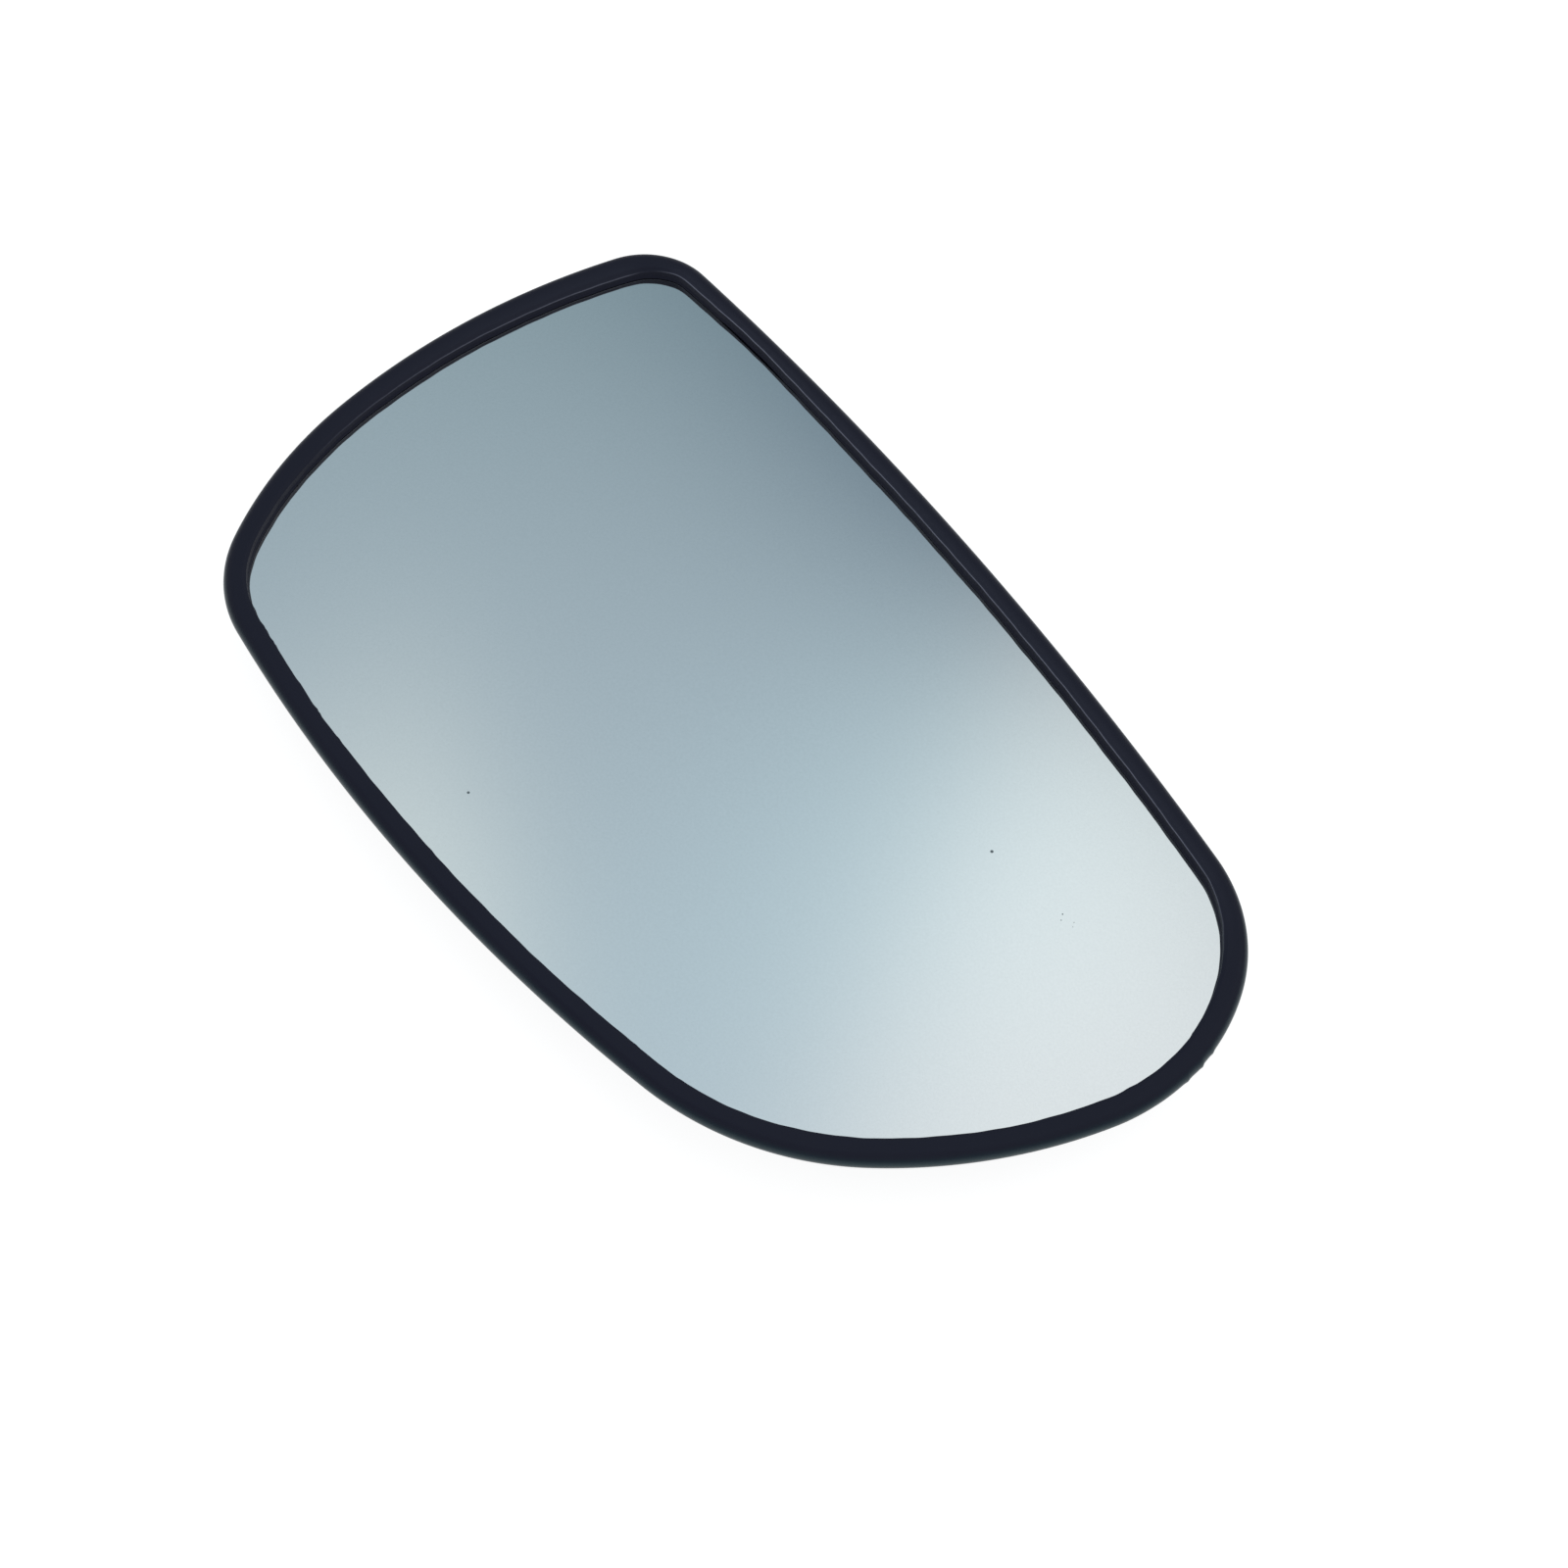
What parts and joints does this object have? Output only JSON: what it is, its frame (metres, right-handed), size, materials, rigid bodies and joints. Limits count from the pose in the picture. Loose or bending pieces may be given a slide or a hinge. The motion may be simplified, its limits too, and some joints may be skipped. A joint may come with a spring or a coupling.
{
  "type": "car door mirror glass",
  "caption": "Convex door mirror glass in a black moulded holder with a raised rim and, on its back, ribs, a hub ring, ball sockets and guide forks for a mirror adjuster",
  "frame": {"origin": "on the axis of the hub, in the plane of the mouth of the hub ring, which is the lowest point of the part and the middle of its box in plan", "axes": "+X along the length, towards the narrow rounded end; +Y across the width, towards the nearly straight upper side; +Z along the axis of the hub, out of the face of the glass"},
  "size_m": [0.1934, 0.1134, 0.0178],
  "materials": {
    "mirror_glass": "convex first-surface chromed glass, ground edge",
    "pad_foam": "closed-cell foam, self-adhesive on both faces",
    "holder_plastic": "satin black moulding with a fine grain"
  },
  "bodies": {
    "root": {"mirror_glass": "mirror_glass", "adhesive_pad": "pad_foam", "backing_plate": "holder_plastic"}
  },
  "joints": []
}
